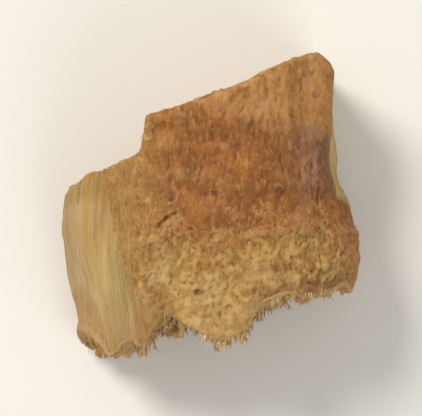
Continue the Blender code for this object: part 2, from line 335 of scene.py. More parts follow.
def bundles(bm):
    """The ragged near end: rows of bundles that broke at different lengths, and the longest splinters."""
    chance = random.Random(BUNDLE_SEED)
    face_y = NEAR_END[0][1] * MM
    columns = int(2 * FINGER_HALF_WIDTH / BUNDLE_SPACING)
    rows = int(FINGER_HALF_HEIGHT / BUNDLE_SPACING) + 1
    for column in range(columns):
        for row in range(rows):
            x = -FINGER_HALF_WIDTH + (column + 0.5 + chance.uniform(-1, 1) * BUNDLE_STAGGER) * BUNDLE_SPACING
            z = (row + 0.5 + chance.uniform(-1, 1) * BUNDLE_STAGGER) * BUNDLE_SPACING
            reach = chance.uniform(*BUNDLE_REACH)
            lean = BUNDLE_LEAN * Vector((chance.uniform(-1, 1), 0, chance.uniform(-1, 1)))
            radius = chance.uniform(*BUNDLE_RADIUS)
            in_span = z > BUNDLE_LOWEST and BUNDLE_SPAN[0] < x < BUNDLE_SPAN[1]
            if not in_span or not inside_section(x, z, radius):
                continue
            strand(bm, Vector((x, face_y + BUNDLE_ROOT, z)), Vector((x, face_y - reach, z)) + lean, radius)
    for start, end, radius in SPLINTERS:
        strand(bm, Vector(start) * MM, Vector(end) * MM, radius * MM)


def remeshed(obj, voxel, softening):
    """One closed even skin over all that the object's mesh holds, smoothed a little."""
    remesh = obj.modifiers.new("remesh", "REMESH")
    remesh.mode = "VOXEL"
    remesh.voxel_size = voxel
    smoothing = obj.modifiers.new("smooth", "SMOOTH")
    smoothing.factor = 0.5
    smoothing.iterations = softening
    graph = bpy.context.evaluated_depsgraph_get()
    mesh = bpy.data.meshes.new_from_object(obj.evaluated_get(graph), depsgraph=graph)
    obj.modifiers.clear()
    obj.data = mesh
    return mesh


# Point data.
def read_points(mesh):
    points = np.empty(len(mesh.vertices) * 3, np.float32)
    mesh.vertices.foreach_get("co", points)
    return points.reshape(-1, 3).astype(float)


def read_edges(mesh):
    ends = np.empty(len(mesh.edges) * 2, np.int32)
    mesh.edges.foreach_get("vertices", ends)
    return ends.reshape(-1, 2)


def neighbour_mean(values, ends):
    """Each point's value averaged with its neighbours'."""
    sums, counts = values.copy(), np.ones(len(values))
    for here, there in ((0, 1), (1, 0)):
        np.add.at(sums, ends[:, here], values[ends[:, there]])
        np.add.at(counts, ends[:, here], 1)
    return sums / (counts if values.ndim == 1 else counts[:, None])


def read_normals(mesh, evening):
    """The vertex normals, evened out over their neighbours so that sharp cut edges don't fray."""
    normals = np.empty(len(mesh.vertices) * 3, np.float32)
    mesh.vertex_normals.foreach_get("vector", normals)
    normals = normals.reshape(-1, 3).astype(float)
    ends = read_edges(mesh)
    for _ in range(evening):
        normals = neighbour_mean(normals, ends)
        normals /= np.linalg.norm(normals, axis=1)[:, None]
    return normals


def write_points(mesh, points):
    mesh.vertices.foreach_set("co", points.astype(np.float32).ravel())
    mesh.update()


def store(mesh, name, values):
    """Keeps one number or one vector per point on the mesh, for the material to read."""
    kind, field = ("FLOAT", "value") if values.ndim == 1 else ("FLOAT_VECTOR", "vector")
    layer = mesh.attributes.new(name, kind, "POINT")
    layer.data.foreach_set(field, values.astype(np.float32).ravel())


# Noise. Pitches are in mm, except in noise_at, and points are in metres.
def per_axis(pitch):
    """A pitch given across and along the root, as X, Y and Z. One number, or all three, may be given too."""
    return np.asarray(pitch)[[0, 1, 0]] if np.size(pitch) == 2 else np.asarray(pitch)


def noise_at(points, pitch, shift=0.0):
    """Smooth noise from about -1 to 1 at each point, the same as the solid's."""
    scaled = points / per_axis(pitch) + shift
    return np.array([noise.noise(Vector(p)) for p in scaled])


LATTICE_SEED = 5
LATTICE_SHIFT = 64
SEED_SHIFT = 11.7
OCTAVE_SHIFT = 3.1
CELL_SEED_SHIFT = 7.3
LATTICE = np.random.default_rng(LATTICE_SEED)
SHUFFLE = LATTICE.permutation(256)
SLOPES = LATTICE.normal(size=(256, 3))
SLOPES /= np.linalg.norm(SLOPES, axis=1)[:, None]
SCATTER = LATTICE.random((256, 4))


def lattice_key(cell):
    key = SHUFFLE[cell[:, 0] & 255]
    key = SHUFFLE[(key + cell[:, 1]) & 255]
    return SHUFFLE[(key + cell[:, 2]) & 255]


def grain(points, pitch, seed=0, octaves=1):
    """Gradient noise from about -1 to 1, with features as large as pitch; each octave is twice as fine."""
    total, weight, size = 0.0, 0.0, 1.0
    for octave in range(octaves):
        at = points / (per_axis(pitch) * MM * size)
        at = at + SEED_SHIFT * seed + OCTAVE_SHIFT * octave + LATTICE_SHIFT
        cell = np.floor(at).astype(int)
        inside = at - cell
        fade = inside ** 3 * (inside * (inside * 6 - 15) + 10)
        for corner in itertools.product((0, 1), repeat=3):
            corner = np.array(corner)
            slope = SLOPES[lattice_key(cell + corner)]
            share = np.prod(np.where(corner == 1, fade, 1 - fade), axis=1)
            total = total + size * 1.7 * share * np.sum(slope * (inside - corner), axis=1)
        weight += size
        size *= 0.5
    return total / weight ** 0.6


def ridges(points, pitch, seed=0, octaves=1):
    """Sharp-crested noise from 0 in the valleys to 1 on the crests."""
    return 1 - np.clip(np.abs(grain(points, pitch, seed, octaves)) * 2, 0, 1)


def cells(points, pitch, seed=0):
    """Scattered points: the distance in pitches to the nearest and the next, and the nearest one's number."""
    at = points / (per_axis(pitch) * MM) + CELL_SEED_SHIFT * seed + LATTICE_SHIFT
    cell = np.floor(at).astype(int)
    first = np.full(len(points), 9.0)
    second = first.copy()
    number = np.zeros(len(points))
    for step in itertools.product((-1, 0, 1), repeat=3):
        there = cell + np.array(step)
        scatter = SCATTER[lattice_key(there)]
        gap = np.linalg.norm(there + scatter[:, :3] - at, axis=1)
        nearer = gap < first
        second = np.where(nearer, first, np.minimum(second, gap))
        number = np.where(nearer, scatter[:, 3], number)
        first = np.where(nearer, gap, first)
    return first, second, number


def smoothstep(low, high, value):
    share = np.clip((value - low) / (high - low), 0, 1)
    return share * share * (3 - 2 * share)


# The broad shape, the same as the solid's but finer.
def ring_at(points):
    """0 on the finger's axis, 1 on its rind."""
    across = np.abs(points[:, 0] - FINGER_CENTRE_X) / FINGER_HALF_WIDTH
    up = np.abs(points[:, 2] - FINGER_CENTRE_Z) / FINGER_HALF_HEIGHT
    return (across ** FINGER_SQUARENESS + up ** FINGER_SQUARENESS) ** (1 / FINGER_SQUARENESS)


def rind_depths(points):
    """How deep each point lies below the finger's rind, and below the bud's."""
    in_bud = np.linalg.norm((points - np.array(BUD_CENTRE)) / np.array(BUD_RADII), axis=1)
    return np.abs(1 - ring_at(points)) * FINGER_HALF_HEIGHT, np.abs(1 - in_bud) * BUD_RADII.x


def depth_below_rind(points):
    return np.minimum(*rind_depths(points))


def torn_back(points):
    """Draws the near end back to its torn profile, leaving the far half of the chunk as it is."""
    knots = np.array(TORN_PROFILE) * MM
    skewed = points[:, 0] + TORN_SKEW * noise_at(points * np.array([0, 0, 1]), TORN_WANDER_PITCH, 30.0)
    reach = np.interp(skewed, knots[:, 0], knots[:, 1])
    reach += TORN_UNDERCUT * (FINGER_HALF_HEIGHT - points[:, 2])
    reach += TORN_WANDER * noise_at(points * np.array([1, 0, 1]), TORN_WANDER_PITCH, 40.0)
    share = np.maximum(TORN_PIVOT - points[:, 1], 0) / (TORN_PIVOT - NEAR_END[0][1] * MM)
    drawn = points.copy()
    drawn[:, 1] = np.where(share > 0, TORN_PIVOT - share * (TORN_PIVOT - reach), points[:, 1])
    return drawn


def ring_scars(points):
    """Leaf-scar rings across the rind, wavy and unevenly strong: their strength, and the way to the ring."""
    along = points[:, 1] + SCAR_WOBBLE * noise_at(points, SCAR_WOBBLE_PITCH, 5.0)
    off_ring = np.abs(along / SCAR_SPACING % 1.0 - 0.5) * SCAR_SPACING
    return 0.6 + 0.4 * noise_at(points, SCAR_PATCH_PITCH, 9.0), off_ring


def broad_relief(points, normals):
    """How far each point of the skin stands out along its normal."""
    depth = depth_below_rind(points)
    rind = 1 - smoothstep(0.4 * RIND_DEPTH, RIND_DEPTH, depth)
    torn = smoothstep(*TORN_FACING, -normals[:, 1]) * (1 - rind)
    cut = (1 - rind) * (1 - torn)
    strength, off_ring = ring_scars(points)
    wrinkles = RIND_WRINKLE * noise_at(points, RIND_WRINKLE_PITCH, 3.0)
    wrinkles += SCAR_HEIGHT * strength * np.exp(-((off_ring / SCAR_WIDTH) ** 2))
    grooves = FIBRE_GROOVE * noise_at(points, FIBRE_PITCH, 7.0)
    grooves -= SUNKEN * smoothstep(*SUNKEN_FROM_RIND, depth)
    lumps = TORN_LUMP * noise_at(points, TORN_PITCH, 1.0)
    return rind * wrinkles + cut * grooves + torn * lumps


def broad_shape():
    """The chunk's main form, as in the solid. Gives the object and where each of its points was before."""
    bm = bmesh.new()
    for shape, cuts in ((finger, HEART_CUTS), (finger, FLANK_CUTS), (bud, BUD_CUTS)):
        bm.from_mesh(cut_lump(shape, cuts))
    bundles(bm)
    body = linked("broad", to_mesh(bm, "broad"))
    mesh = remeshed(body, BROAD_VOXEL, BROAD_SOFTENING)
    before = read_points(mesh)
    normals = read_normals(mesh, BROAD_EVENING)
    shaped = torn_back(before) + normals * broad_relief(before, normals)[:, None]
    for pitch, reach in WARP:
        for axis in range(3):
            shaped[:, axis] += reach * noise_at(before, pitch, 20.0 + 13.0 * axis)
    write_points(mesh, shaped)
    return body, before


def grounded(body):
    """A copy cut flat at ground level."""
    bm = bmesh.new()
    bm.from_mesh(body.data)
    bmesh.ops.triangulate(bm, faces=bm.faces)
    knife(bm, Vector((0, 0, 0)), Vector((0, 0, -1)))
    return linked("galangal_chunk", to_mesh(bm, "galangal_chunk"))


def unshaped(body, before, points):
    """Where points on the shaped skin were before the shaping."""
    body.data.calc_loop_triangles()
    corners = np.empty(len(body.data.loop_triangles) * 3, np.int32)
    body.data.loop_triangles.foreach_get("vertices", corners)
    corners = corners.reshape(-1, 3)
    skin = read_points(body.data)
    tree = BVHTree.FromPolygons(skin.tolist(), corners.tolist())
    hits = [tree.find_nearest(Vector(point)) for point in points]
    face = corners[[hit[2] for hit in hits]]
    on_skin = np.array([hit[0] for hit in hits])
    a, b, c = (skin[face[:, k]] for k in range(3))
    ab, ac, ap = b - a, c - a, on_skin - a
    bb, bc, cc = (np.sum(u * v, axis=1) for u, v in ((ab, ab), (ab, ac), (ac, ac)))
    pb, pc = np.sum(ap * ab, axis=1), np.sum(ap * ac, axis=1)
    area = np.maximum(bb * cc - bc * bc, 1e-30)
    v = np.clip((cc * pb - bc * pc) / area, 0, 1)
    w = np.clip((bb * pc - bc * pb) / area, 0, 1)
    rest = before[face[:, 0]] * (1 - v - w)[:, None]
    rest += before[face[:, 1]] * v[:, None] + before[face[:, 2]] * w[:, None]
    return rest


# What each part of the surface shows.
def bud_stand(points):
    """How far the bud stands out of the right wall's cut at each point's place, in mm."""
    _, y, z = points.T / MM
    centre, radii = np.array(BUD_CENTRE) / MM, np.array(BUD_RADII) / MM
    room = 1 - ((y - centre[1]) / radii[1]) ** 2 - ((z - centre[2]) / radii[2]) ** 2
    point, normal = RIGHT_WALL
    wall = point[0] - (normal[1] * (y - point[1]) + normal[2] * (z - point[2])) / normal[0]
    return centre[0] + radii[0] * np.sqrt(np.clip(room, 0, None)) - wall


def surface_kinds(rest, normals, shaped):
    """Shares of rind, torn fibres, cross cut and lengthwise cut at each point."""
    x, y, z = rest.T / MM
    ragged = 0.06 * grain(rest, 0.5, 3, 2)
    finger_depth, bud_depth = rind_depths(rest)
    point, normal = (np.array(part, float) for part in BUD_FACET)
    behind_facet = (point - rest / MM) @ (normal / np.linalg.norm(normal))
    low_down = smoothstep(5.0, 3.5, z)
    stands_out = smoothstep(-0.02, 0.16, bud_stand(rest) + ragged)
    on_bud = np.maximum(1 - smoothstep(0.16, 0.34, bud_depth / MM + ragged),
                        low_down * smoothstep(0.3, 0.6, normals[:, 0]))
    bud_rind = on_bud * np.maximum(stands_out, 1 - low_down) * smoothstep(0.10, 0.30, behind_facet)
    bud_rind *= smoothstep(-0.7, -0.3, normals[:, 2])
    finger_rind = 1 - smoothstep(0.16, 0.34, finger_depth / MM + ragged)
    flat_top = smoothstep(0.72, 0.86, normals[:, 2]) * smoothstep(TOP_FROM, 6.8, z)
    rind = np.maximum.reduce([finger_rind, bud_rind, flat_top])
    base = 1 - smoothstep(0.02, 0.08, shaped[:, 2] / MM)
    turned = 0.5 * np.maximum(normals[:, 2], 0)
    turned += 0.8 * np.maximum(-normals[:, 0], 0) * smoothstep(-5.6, -6.6, x)
    on_toe = smoothstep(-3.2, -4.2, x) * smoothstep(0.25, 0.55, normals[:, 2])
    facing_near = smoothstep(0.32, 0.74, -normals[:, 1] - turned) * smoothstep(4.5, 6.5, -y)
    torn = np.clip(facing_near + smoothstep(7.6, 8.1, -y), 0, 1) * (1 - base) * (1 - 0.85 * on_toe)
    cross = smoothstep(0.55, 0.85, normals[:, 1]) * (1 - torn) * (1 - rind)
    rind = rind * (1 - torn)
    cut = (1 - rind) * (1 - torn) * (1 - cross)
    return {"rind": rind, "torn": torn, "cross": cross, "cut": cut}


def flank_brim(points):
    """How far each point lies above the wandering line where the top's tan margin meets the flank."""
    _, y, z = points.T / MM
    return z - 5.8 - 0.38 * (2 - y) + 1.8 * grain(points, (0.60, 3.0), 16, 2)


def bareness(rest, normals, kinds):
    """Above a half where the rind has rubbed off: the near half of the top, ending in specks."""
    x, y, z = rest.T / MM
    wander = 1.3 * grain(rest, 2.6, 8) + 1.3 * grain(rest, 1.1, 9, 2)
    margins = 2.6 * smoothstep(-3.2, -4.8, x) - 4.5 * smoothstep(5.6, 7.2, x)
    slide = smoothstep(1.5, -3.5, y + wander - margins)
    slide = np.maximum(slide, 0.7 * smoothstep(-3.0, -4.1, x + 0.4 * wander) * smoothstep(6.0, 4.0, y))
    facing_up = smoothstep(0.20, 0.50, normals[:, 2]) * smoothstep(2.5, 4.5, z)
    sloping = smoothstep(0.15, 0.45, normals[:, 2])
    share = kinds["rind"] * slide * facing_up
    share += kinds["cut"] * sloping * smoothstep(-1.3, 1.3, flank_brim(rest))
    in_doubt = np.clip(4 * np.minimum(share, 1 - share), 0, 1)
    return share + (0.25 + 0.90 * kinds["rind"]) * in_doubt * grain(rest, (0.34, 0.42), 12, 3)


def russet_share(rest):
    """How red-brown the rind is: less at the top's left margin and far right corner."""
    x, y, _ = rest.T / MM
    wander = 0.8 * grain(rest, 1.7, 14, 2)
    left = smoothstep(-0.9, 0.9, x + 4.1 - 0.15 * (3 - y) + wander)
    corner = smoothstep(4.6, 6.3, 0.25 * x + y + wander)
    return left * (1 - 0.85 * corner) * (0.5 + 0.5 * smoothstep(-2.5, 0.0, y + wander))


def stain_and_highlight_share(points):
    """The stains on the top, with one painted highlight: above 0 where paler, below 0 where darker."""
    x, y, z = points.T / MM
    ragged = 0.40 * grain(points, 0.7, 17, 3)
    pale, dark = np.zeros(len(points)), np.zeros(len(points))
    for at_x, at_y, reach_x, reach_y, strength in STAINS_AND_HIGHLIGHT:
        off = np.hypot((x - at_x) / reach_x, (y - at_y) / reach_y)
        inside = (1 - smoothstep(0.3, 1.3, off + ragged)) * (z > 4)
        pale = np.maximum(pale, strength * inside)
        dark = np.minimum(dark, strength * inside)
    return pale + dark


def bloom_share(rest):
    """The grey-purple bloom near the right edge of the top."""
    x, y, z = rest.T / MM
    wander = 0.6 * grain(rest, 1.3, 15, 2)
    patch = smoothstep(3.3, 5.2, x + wander) * smoothstep(0.0, 1.6, y + wander) * smoothstep(5.4, 3.4, y)
    return patch * smoothstep(5.0, 6.6, z + wander)


# Fine relief, in mm along the normal, and how deep a point lies in a pit or crack.
def rind_relief(rest):
    """Shrunken cork: lengthwise wrinkles, fissures, crinkles, and broken leaf scars with a fringe."""
    bent = rest + 0.25 * MM * grain(rest, 1.4, 27)[:, None]
    height = 0.050 * (ridges(bent, (0.75, 2.2), 21, 2) - 0.55)
    height += 0.055 * grain(rest, (0.32, 0.50), 22, 3) + 0.050 * grain(rest, 1.0, 23, 2)
    strength, off_ring = ring_scars(rest)
    off_ring = off_ring / MM + 0.16 * grain(rest, (0.60, 1.2), 24, 3)
    scar = np.clip(strength, 0, 1) * np.exp(-((off_ring / 0.12) ** 2))
    scar *= smoothstep(-0.05, 0.40, grain(rest, (1.1, 3.0), 25, 2))
    fringe = ridges(rest, (0.16, 1.6), 26)
    height += 0.055 * scar * (0.4 + 0.6 * fringe)
    fissure = smoothstep(0.80, 0.94, ridges(bent, (0.95, 4.5), 28))
    fissure *= smoothstep(0.10, 0.45, grain(rest, (0.9, 1.6), 29, 2))
    return height - 0.04 * fissure, scar, fissure


def scraped_relief(rest):
    """Bared cortex: small grains and a short nap along the root, over soft dents, with a few pits."""
    bent = rest + 0.12 * MM * grain(rest, 0.5, 34)[:, None]
    height = 0.040 * (ridges(rest, (0.24, 0.85), 31, 2) - 0.5)
    height += 0.045 * grain(rest, (0.42, 0.55), 32, 3) + 0.075 * grain(rest, 1.9, 33)
    strength = 0.35 + 0.65 * smoothstep(-4.6, -3.2, rest[:, 0] / MM)
    pebble = 0.5 + strength * (smoothstep(-0.45, 0.60, grain(bent, (0.34, 0.44), 37, 3)) - 0.5)
    hole, _, pick = cells(bent, 1.15, 35)
    pit = 0.7 * strength * (1 - smoothstep(0.06, 0.17, hole)) * (pick < 0.40)
    return height + 0.070 * pebble - 0.13 * pit - 0.05, pit, pebble


def top_marks(rest, shaped, normals):
    """How deep a point lies in a dent or the nick, and its share of the nick's pale lip."""
    on_top = shaped[:, 2] > TOP_FROM * MM
    x, y = shaped[:, 0] / MM, shaped[:, 1] / MM
    slope = np.clip(normals[:, 2], 0.35, 1)
    ragged = 0.08 * grain(rest, 0.4, 36, 2)
    deep = np.zeros(len(rest))
    for dent_x, dent_y, radius, strength in DENTS:
        away = np.hypot((x - dent_x) / slope, y - dent_y) + ragged
        deep = np.maximum(deep, strength * (1 - smoothstep(0.3 * radius, radius, away)))
    x, y = x - NICK_PLACE[0], y - NICK_PLACE[1]
    along = x * math.cos(NICK_TURN) + y * math.sin(NICK_TURN)
    off = y * math.cos(NICK_TURN) - x * math.sin(NICK_TURN) + 0.25 * along ** 2
    off = (off + ragged) / NICK_HALF_WIDTH
    taper = np.sqrt(np.clip(1 - (along / NICK_HALF_LENGTH) ** 2, 0, 1))
    deep = np.maximum(deep, 0.6 * taper * (1 - smoothstep(0.2, 1.0, np.abs(off))))
    crumbled = np.clip(0.7 + 0.9 * grain(rest, 0.25, 38, 2), 0, 1)
    return deep * on_top, taper * np.exp(-((off + 1.9 + 8 * ragged) ** 2)) * crumbled * on_top


def bundle_share(rest):
    """Fibre bundles through the flesh: dots on a cross cut, long streaks on a lengthwise cut."""
    near, _, pick = cells(rest, (0.66, 26.0), 51)
    return (1 - smoothstep(0.17, 0.32, near)) * smoothstep(0.10, 0.40, pick)


def slits(across, along, pitch, half_width, share, seed):
    """Scattered cracks, each tapering to nothing at both ends: how deep each point lies in one."""
    at = np.column_stack([across, along]) / (np.array(pitch) * MM) + LATTICE_SHIFT
    cell = np.floor(at).astype(int)
    deepest = np.zeros(len(at))
    for step in itertools.product((-1, 0, 1), repeat=2):
        there = cell + np.array(step)
        scatter = SCATTER[lattice_key(np.column_stack([there, np.full(len(at), seed)]))]
        off_x, off_y = ((there + scatter[:, :2] - at) * np.array(pitch)).T
        taper = np.clip(1 - (off_y / (pitch[1] * (0.12 + 0.30 * scatter[:, 2]))) ** 2, 0, 1)
        inside = 1 - smoothstep(0.4, 1.0, np.abs(off_x) / (half_width * taper + 0.001))
        deepest = np.maximum(deepest, inside * np.sqrt(taper) * (scatter[:, 3] < share))
    return deepest


def cut_relief(rest, bundle):
    """A lengthwise knife cut: fine fibres, bundles standing a little proud, and a few shrinkage cracks."""
    height = 0.060 * (ridges(rest, (0.46, 11.0), 41, 3) - 0.5)
    height += 0.028 * grain(rest, (0.17, 3.5), 42, 2) + 0.055 * bundle
    height += 0.040 * grain(rest, (0.8, 1.7), 45, 2)
    over = rest[:, 0] + rest[:, 2] + 0.14 * MM * grain(rest, (0.9, 2.2), 43, 2)
    crack = slits(over, rest[:, 1], (1.9, 4.4), 0.10, 0.30, 44) * smoothstep(-5.8, -4.4, rest[:, 1] / MM)
    return height - 0.13 * crack, crack


def cross_relief(rest, bundle):
    """The clean cross cut: bundle ends proud of shrunken flesh, faint knife marks, a splitting heart."""
    ring = ring_at(rest) + 0.030 * grain(rest, 2.2, 55, 2)
    height = 0.10 * bundle + 0.080 * grain(rest, 0.85, 52, 3) + 0.045 * ridges(rest, (0.17, 1.0), 57)
    height -= 0.16 * smoothstep(0.66, 0.45, ring)
    along_blade = rest @ np.array([[0.96, 0.0, 0.28], [0.0, 0.0, 0.0], [-0.28, 0.0, 0.96]])
    height += 0.035 * ridges(along_blade, (9.0, 9.0, 0.55), 58)
    gape = smoothstep(-0.05, 0.50, grain(rest, 1.5, 56, 2))
    split = gape * (1 - smoothstep(0.3, 1.0, np.abs(ring - 0.66) / (0.002 + 0.009 * gape)))
    angle = np.arctan2(rest[:, 0] - FINGER_CENTRE_X, rest[:, 2] - FINGER_CENTRE_Z)
    check = slits(5 * MM * angle, FINGER_HALF_HEIGHT * ring, (2.4, 3.4), 0.055, 0.25, 59)
    split = np.maximum(0.8 * split, 0.5 * check)
    return height - 0.12 * split, split


def torn_relief(rest):
    """Torn flesh seen end on: bundles broken at different depths, each a cluster of pointed strands.

    Gives its height, how deep a point lies, which the material paints as shade in gaps and low places, and
    each strand's own tone.
    """
    leaning = rest + 0.20 * MM * grain(rest, 0.9, 64, 2)[:, None]
    _, _, bundle_tone = cells(leaning, (1.05, 9.0), 61)
    near, after, strand_tone = cells(leaning, (0.30, 2.4), 63)
    gap = 1 - smoothstep(0.0, 0.24, after - near)
    point = (strand_tone - 0.35) * (1 - smoothstep(0.10, 0.80, near))
    height = 0.17 * grain(rest, (0.9, 1.6), 62, 3) + 0.34 * (bundle_tone - 0.5)
    height += 0.46 * point - 0.05 * gap
    # deep is painted shade in the gaps between strands and in low places.
    deep = 0.16 * gap + 0.55 * smoothstep(0.0, -0.32, height)
    return height, deep, 0.40 * bundle_tone + 0.60 * strand_tone


def relief_standout(mesh, points, normals, rounds, reach):
    """How far each point stands out over its surroundings: positive on ridges, negative in creases."""
    mean, ends = points, read_edges(mesh)
    for _ in range(rounds):
        mean = neighbour_mean(mean, ends)
    return np.clip(np.sum((points - mean) * normals, axis=1) / reach, -1, 1)


def chunk():
    """The whole chunk, with what its material reads stored on its points.

    rest is where a point was before the broad shaping. level keeps the shaped Y, so that grain isn't squashed
    where the near end was drawn back.
    """
    body, before = broad_shape()
    piece = grounded(body)
    mesh = remeshed(piece, FINE_VOXEL, FINE_SOFTENING)
    shaped = read_points(mesh)
    normals = read_normals(mesh, FINE_EVENING)
    rest = unshaped(body, before, shaped)
    bpy.data.objects.remove(body)
    flat = (shaped[:, 2] < GROUND_SLACK) & (normals[:, 2] < -0.8)
    rest[flat] = shaped[flat]
    level = np.column_stack([rest[:, 0], shaped[:, 1], rest[:, 2]])
    kinds = surface_kinds(rest, normals, shaped)
    torn, cross = kinds["torn"], kinds["cross"]
    bare = bareness(rest, normals, kinds)
    scraped = smoothstep(0.34, 0.66, bare)
    skin, cut = kinds["rind"] * (1 - scraped), kinds["cut"] * (1 - scraped)
    top = skin + scraped
    bundle = bundle_share(rest)
    skin_height, scar, fissure = rind_relief(rest)
    scraped_height, pit, pebble = scraped_relief(level)
    mark, lip = top_marks(rest, shaped, normals)
    cut_height, crack = cut_relief(rest, bundle)
    cross_height, split = cross_relief(rest, bundle)
    strand_height, deep, tone = torn_relief(rest)
    height = skin * skin_height + scraped * scraped_height + cut * cut_height + cross * cross_height
    height += top * (LIP_HEIGHT * lip - MARK_DEPTH * mark)
    height = np.where(normals[:, 2] < -0.5, np.minimum(height, 0), height)
    rough = shaped + normals * (height * MM)[:, None]
    rough[:, 1] -= torn * smoothstep(0.2, 0.9, -normals[:, 1]) * strand_height * MM
    rough[:, 2] = np.maximum(rough[:, 2], 0)
    middle = (rough.min(axis=0) + rough.max(axis=0)) / 2
    target = (np.array(solid_low) + np.array(solid_high)) / 2
    rough[:, :2] += (target - middle)[:2]
    write_points(mesh, rough)
    fresh = read_normals(mesh, 1)
    # How far each point stands out: the material paints shade in creases and a highlight on sharp ridges from
    # these.
    fine_shade_and_highlight = relief_standout(mesh, rough, fresh, *FINE_SHADE_AVERAGING)
    # Painted shade in pits, cracks, splits, fissures, dents and the torn end's gaps; less of it at the torn
    # end's far left.
    deep *= 1 - 0.6 * smoothstep(-5.8, -6.8, rest[:, 0] / MM)
    hollow_shade = scraped * pit + cut * crack + cross * split + torn * deep + 0.2 * skin * fissure
    for name, values in {
        "rest": rest / MM, "level": level / MM, "ring": ring_at(rest), "rind": kinds["rind"], "bare": bare,
        "torn": torn, "cross": cross, "russet": russet_share(rest), "bloom": bloom_share(rest),
        "stain_and_highlight": stain_and_highlight_share(level), "bundle": bundle, "tone": tone, "pebble": pebble, "scar": scar * skin,
        "lip": lip * top, "hollow_shade": np.maximum(hollow_shade, MARK_SHADE * top * mark),
        # Painted shade in fine and broad creases (the fine crease shade halved on the torn end), and painted
        # highlight on sharp ridges.
        "fine_shade_and_highlight": fine_shade_and_highlight * (1 - 0.5 * torn * (fine_shade_and_highlight < 0)),
        "broad_crease_shade": relief_standout(mesh, rough, fresh, *BROAD_SHADE_AVERAGING),
    }.items():
        store(mesh, name, values)
    mesh.shade_smooth()
    return piece, rough, fresh, kinds


# Loose fibres.
def tubes(name, fibres, sides, chance):
    """Closed tapering fibres, each a path of points with its radii, its tone, and how jagged its tip is."""
    paths, radii, tones, jags = (np.array(part) for part in zip(*fibres))
    count, steps = radii.shape
    along = np.gradient(paths, axis=1)
    along /= np.linalg.norm(along, axis=2)[:, :, None]
    side = np.cross(along, np.array([0.31, 0.17, 0.93]))
    side /= np.linalg.norm(side, axis=2)[:, :, None]
    other = np.cross(along, side)
    turns = np.arange(sides) * 2 * np.pi / sides
    rim = side[:, :, None] * np.cos(turns)[:, None] + other[:, :, None] * np.sin(turns)[:, None]
    uneven = chance.uniform(0.70, 1.15, (count, 1, sides, 1))
    points = paths[:, :, None] + rim * uneven * radii[:, :, None, None]
    jagged = jags[:, None] * chance.uniform(-1, 1, (count, sides))
    points[:, -1] += along[:, -1, None] * jagged[:, :, None]
    points = points.reshape(-1, 3)
    points[:, 2] = np.maximum(points[:, 2], 0)
    faces = []
    for number in range(count):
        first = number * steps * sides
        for step in range(steps - 1):
            low = first + step * sides
            for k in range(sides):
                after = (k + 1) % sides
                faces.append((low + k, low + after, low + sides + after, low + sides + k))
        last = first + (steps - 1) * sides
        faces.append(tuple(first + k for k in reversed(range(sides))))
        faces.append(tuple(last + k for k in range(sides)))
    mesh = bpy.data.meshes.new(name)
    mesh.from_pydata(points.tolist(), [], faces)
    mesh.update()
    store(mesh, "rest", points / MM)
    store(mesh, "tone", np.repeat(tones, steps * sides))
    store(mesh, "tip", np.tile(np.repeat(np.linspace(0, 1, steps), sides), count))
    mesh.shade_smooth()
    return linked(name, mesh)


def fibre(start, way, length, bend, radius, taper, tone, jag=0.0):
    """One fibre from start (in metres) along way, bending towards its tip. Lengths and radius are in mm."""
    share = np.linspace(0, 1, FIBRE_STEPS)
    path = start + share[:, None] * way * length * MM + (share ** 2)[:, None] * bend * length * MM
    path[:, 1] = np.maximum(path[:, 1], solid_low[1])
    return path, radius * MM * (1 - taper * share ** 2), np.clip(tone, 0, 1), jag * MM


def unit(vector):
    return vector / np.linalg.norm(vector)


def picked(chance, count, weight):
    """The numbers of some points, drawn at random by weight."""
    return chance.choice(len(weight), count, replace=False, p=weight / weight.sum())


def recess(point):
    """How far the torn end is undercut at a point, in mm. Fibres may be longer there."""
    across = abs(point[0] - FINGER_CENTRE_X) / FINGER_HALF_WIDTH
    up = (1 - across ** FINGER_SQUARENESS) ** (1 / FINGER_SQUARENESS)
    rind = FINGER_CENTRE_Z + FINGER_HALF_HEIGHT * up
    (x, _, z), (run, _, rise) = FLANK
    flank = z * MM - (point[0] - x * MM) * run / rise
    return TORN_UNDERCUT * max(min(rind, flank, TOP[0][2] * MM) - point[2], 0) / MM


def torn_tufts(chance, points, normals, weight):
    """Short single fibres in tufts all over the torn end."""
    fibres = []
    for root in picked(chance, TUFTS, weight):
        lean = chance.normal(0, 0.20, 3) + 0.20 * normals[root]
        reach = TUFT_REACH[0] + chance.exponential(TUFT_REACH[1])
        reach = min(reach + chance.uniform(0, TUFT_INTO_HOLLOW) * recess(points[root]), LONGEST_FIBRE)
        tone = chance.uniform(*TUFT_TONE)
        for _ in range(chance.integers(*TUFT_COUNT)):
            start = points[root] + chance.normal(0, 1, 3) * np.array([1, 0, 1]) * TUFT_SPREAD
            way = unit(OUT_OF_TEAR + lean + chance.normal(0, 0.14, 3))
            length = FIBRE_ROOT + reach * chance.uniform(0.55, 1.15)
            fibres.append(fibre(start - OUT_OF_TEAR * FIBRE_ROOT * MM, way, length, chance.normal(0, 0.26, 3),
                                chance.uniform(*TUFT_RADIUS), TUFT_TAPER, tone + chance.normal(0, 0.12)))
    return fibres


